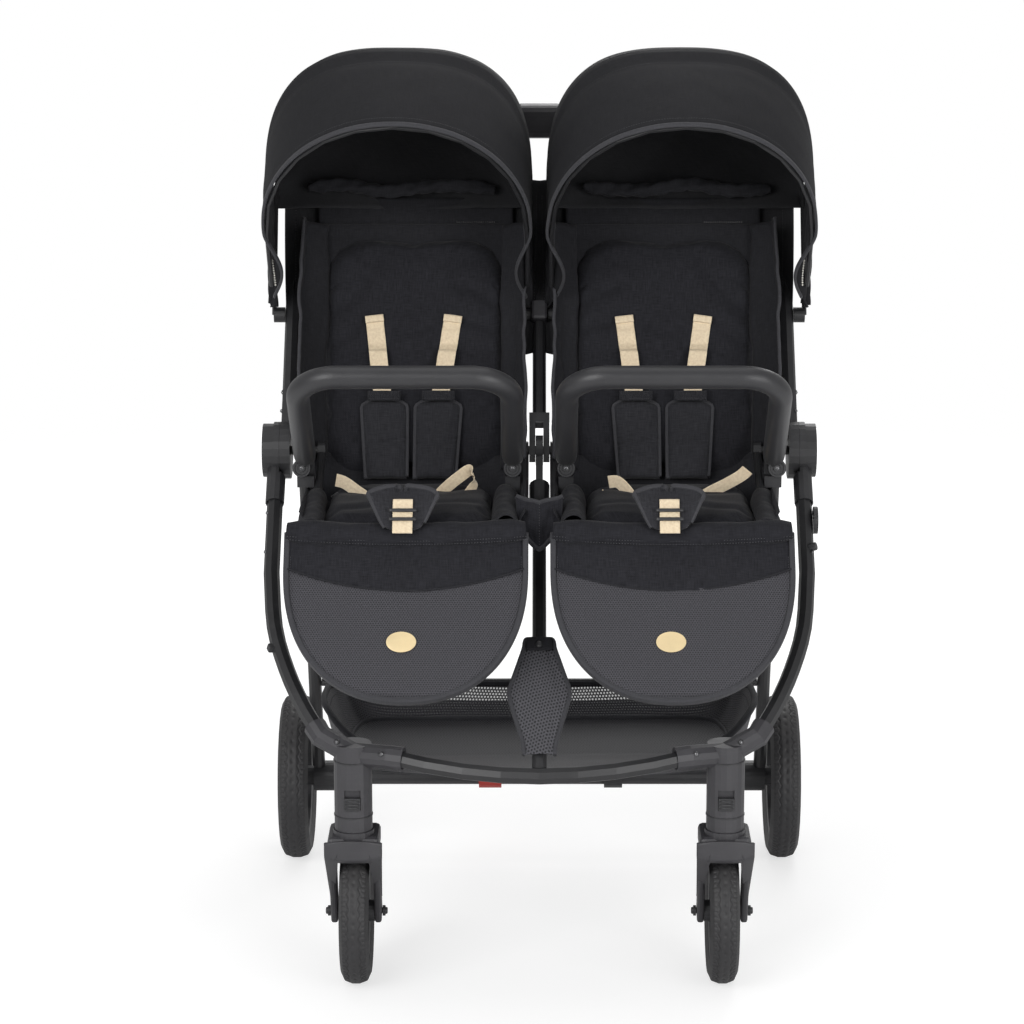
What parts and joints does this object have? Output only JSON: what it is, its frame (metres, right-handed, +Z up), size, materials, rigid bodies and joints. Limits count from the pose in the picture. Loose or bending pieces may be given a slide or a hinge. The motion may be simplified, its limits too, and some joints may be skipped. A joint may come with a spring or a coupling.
{
  "type": "double stroller",
  "caption": "Side-by-side folding pushchair with two reclining seats, separate hoods, foam bumper bars, leg rests, mesh basket, swivel front wheels and foot brake",
  "frame": {"origin": "on the floor, under the middle of the bounding box", "axes": "+X across to the right as seen from the front, +Y rearwards towards the handle, +Z up"},
  "size_m": [0.7362, 0.7824, 1.1583],
  "materials": {
    "frame_tube": "satin",
    "black_plastic": "matte",
    "foam": "matte",
    "seat_fabric": "matte",
    "mesh_fabric": "matte",
    "tyre_rubber": "matte",
    "rim_plastic": "satin",
    "red_plastic": "satin"
  },
  "bodies": {
    "front_frame": {"front_leg_left": "frame_tube", "front_leg_right": "frame_tube", "caster_bracket_left": "black_plastic", "caster_bracket_right": "black_plastic", "hinge_lower_left": "black_plastic", "hinge_lower_right": "black_plastic", "front_cross_tube": "frame_tube", "centre_leg": "frame_tube", "basket": "mesh_fabric", "basket_centre_panel": "mesh_fabric", "storage_latch": "black_plastic"},
    "upper_frame": {"handle_tube": "frame_tube", "hinge_upper_left": "black_plastic", "hinge_upper_right": "black_plastic", "hood_rear_bow_left": "frame_tube", "hood_rear_bow_right": "frame_tube", "fold_release_housing": "black_plastic", "centre_post": "frame_tube", "centre_hood_bracket": "black_plastic"},
    "fold_button": {"fold_release_button": "black_plastic"},
    "rear_frame": {"rear_leg_left": "frame_tube", "rear_leg_right": "frame_tube", "brake_hub_left": "black_plastic", "brake_hub_right": "black_plastic", "rear_axle_beam": "frame_tube", "basket_rear_bar": "frame_tube"},
    "brake_lever": {"brake_pedal": "red_plastic"},
    "release_lever": {"brake_release_pedal": "black_plastic"},
    "seat_base": {"seat_frame_left": "frame_tube", "seat_frame_right": "frame_tube", "seat_cushion_left": "seat_fabric", "seat_cushion_right": "seat_fabric"},
    "belly_mounts": {"belly_socket_outer_left": "black_plastic", "belly_socket_outer_right": "black_plastic", "belly_socket_inner_left": "black_plastic", "belly_socket_inner_right": "black_plastic"},
    "rear_wheel_left": {"rear_tyre_left": "tyre_rubber", "rear_rim_left": "rim_plastic"},
    "caster_left": {"caster_fork_left": "black_plastic"},
    "front_wheel_left": {"front_tyre_left": "tyre_rubber", "front_rim_left": "rim_plastic"},
    "lock_slider_left": {"swivel_lock_left": "black_plastic"},
    "back_left": {"backrest_left": "seat_fabric", "harness_left": "seat_fabric"},
    "leg_board_left": {"leg_rest_left": "mesh_fabric"},
    "gate_left": {"belly_bar_left": "foam"},
    "hood_cloth_left": {"hood_canopy_left": "seat_fabric"},
    "hood_rim_left": {"hood_front_bow_left": "frame_tube"},
    "rear_wheel_right": {"rear_tyre_right": "tyre_rubber", "rear_rim_right": "rim_plastic"},
    "caster_right": {"caster_fork_right": "black_plastic"},
    "front_wheel_right": {"front_tyre_right": "tyre_rubber", "front_rim_right": "rim_plastic"},
    "lock_slider_right": {"swivel_lock_right": "black_plastic"},
    "back_right": {"backrest_right": "seat_fabric", "harness_right": "seat_fabric"},
    "leg_board_right": {"leg_rest_right": "mesh_fabric"},
    "gate_right": {"belly_bar_right": "foam"},
    "hood_cloth_right": {"hood_canopy_right": "seat_fabric"},
    "hood_rim_right": {"hood_front_bow_right": "frame_tube"}
  },
  "joints": [
    {"name": "fold", "type": "hinge", "parent": "front_frame", "child": "upper_frame", "pos_m": [0, 0.03, 0.633], "axis": [1, 0, 0], "range_deg": [0, 140], "deforming": ["basket"]},
    {"name": "rear_legs_fold", "type": "hinge", "parent": "front_frame", "child": "rear_frame", "pos_m": [0, 0.03, 0.633], "axis": [1, 0, 0], "range_deg": [-33, 0]},
    {"name": "seat_fold", "type": "hinge", "parent": "front_frame", "child": "seat_base", "pos_m": [0, 0.03, 0.633], "axis": [1, 0, 0], "range_deg": [0, 40]},
    {"name": "belly_fold", "type": "hinge", "parent": "seat_base", "child": "belly_mounts", "pos_m": [0, -0.04, 0.63], "axis": [1, 0, 0], "range_deg": [0, 36]},
    {"name": "fold_release", "type": "slide", "parent": "upper_frame", "child": "fold_button", "axis": [1, 0, 0], "range_m": [0, 0.006], "stiffness_N_per_m": 150},
    {"name": "brake_press", "type": "hinge", "parent": "rear_frame", "child": "brake_lever", "pos_m": [0, 0.232, 0.114], "axis": [1, 0, 0], "range_deg": [-20, 0]},
    {"name": "brake_release", "type": "hinge", "parent": "rear_frame", "child": "release_lever", "pos_m": [0, 0.232, 0.114], "axis": [1, 0, 0], "range_deg": [0, 20]},
    {"name": "rear_wheel_spin_left", "type": "hinge", "parent": "rear_frame", "child": "rear_wheel_left", "pos_m": [-0.3565, 0.232, 0.114], "axis": [1, 0, 0], "continuous": true},
    {"name": "caster_swivel_left", "type": "hinge", "parent": "front_frame", "child": "caster_left", "pos_m": [-0.235, -0.31, 0.2], "axis": [0, 0, 1], "continuous": true},
    {"name": "front_wheel_spin_left", "type": "hinge", "parent": "caster_left", "child": "front_wheel_left", "pos_m": [-0.235, -0.265, 0.0915], "axis": [1, 0, 0], "continuous": true},
    {"name": "swivel_lock_slide_left", "type": "slide", "parent": "front_frame", "child": "lock_slider_left", "axis": [0, 0, 1], "range_m": [0, 0.009]},
    {"name": "recline_left", "type": "hinge", "parent": "upper_frame", "child": "back_left", "pos_m": [-0.175, 0.05, 0.578], "axis": [1, 0, 0], "range_deg": [-42, 0]},
    {"name": "leg_rest_tilt_left", "type": "hinge", "parent": "seat_base", "child": "leg_board_left", "pos_m": [-0.175, -0.2052, 0.576], "axis": [1, 0, 0], "range_deg": [-50, 0]},
    {"name": "belly_bar_swing_left", "type": "hinge", "parent": "belly_mounts", "child": "gate_left", "pos_m": [-0.319, -0.04, 0.63], "axis": [0, 1, 0], "range_deg": [-95, 0]},
    {"name": "hood_carry_left", "type": "hinge", "parent": "upper_frame", "child": "hood_cloth_left", "pos_m": [-0.1894, 0.16492, 0.79209], "axis": [1, 0, 0], "range_deg": [-46, 0]},
    {"name": "hood_slide_left", "type": "hinge", "parent": "hood_cloth_left", "child": "hood_rim_left", "pos_m": [-0.1894, 0.16492, 0.79209], "axis": [1, 0, 0], "range_deg": [-46, 0], "deforming": ["hood_canopy_left"]},
    {"name": "rear_wheel_spin_right", "type": "hinge", "parent": "rear_frame", "child": "rear_wheel_right", "pos_m": [0.3565, 0.232, 0.114], "axis": [1, 0, 0], "continuous": true},
    {"name": "caster_swivel_right", "type": "hinge", "parent": "front_frame", "child": "caster_right", "pos_m": [0.235, -0.31, 0.2], "axis": [0, 0, 1], "continuous": true},
    {"name": "front_wheel_spin_right", "type": "hinge", "parent": "caster_right", "child": "front_wheel_right", "pos_m": [0.235, -0.265, 0.0915], "axis": [1, 0, 0], "continuous": true},
    {"name": "swivel_lock_slide_right", "type": "slide", "parent": "front_frame", "child": "lock_slider_right", "axis": [0, 0, 1], "range_m": [0, 0.009]},
    {"name": "recline_right", "type": "hinge", "parent": "upper_frame", "child": "back_right", "pos_m": [0.175, 0.05, 0.578], "axis": [1, 0, 0], "range_deg": [-42, 0]},
    {"name": "leg_rest_tilt_right", "type": "hinge", "parent": "seat_base", "child": "leg_board_right", "pos_m": [0.175, -0.2052, 0.576], "axis": [1, 0, 0], "range_deg": [-50, 0]},
    {"name": "belly_bar_swing_right", "type": "hinge", "parent": "belly_mounts", "child": "gate_right", "pos_m": [0.319, -0.04, 0.63], "axis": [0, -1, 0], "range_deg": [-95, 0]},
    {"name": "hood_carry_right", "type": "hinge", "parent": "upper_frame", "child": "hood_cloth_right", "pos_m": [0.1894, 0.16492, 0.79209], "axis": [1, 0, 0], "range_deg": [-46, 0]},
    {"name": "hood_slide_right", "type": "hinge", "parent": "hood_cloth_right", "child": "hood_rim_right", "pos_m": [0.1894, 0.16492, 0.79209], "axis": [1, 0, 0], "range_deg": [-46, 0], "deforming": ["hood_canopy_right"]}
  ],
  "couplings": [
    {"joint": "rear_legs_fold", "follows": "fold", "ratio": -0.235},
    {"joint": "seat_fold", "follows": "fold", "ratio": 0.2857},
    {"joint": "belly_fold", "follows": "fold", "ratio": 0.257},
    {"joint": "brake_release", "follows": "brake_press", "ratio": -1},
    {"joint": "hood_carry_left", "follows": "fold", "ratio": -0.3285},
    {"joint": "hood_carry_right", "follows": "fold", "ratio": -0.3285}
  ]
}
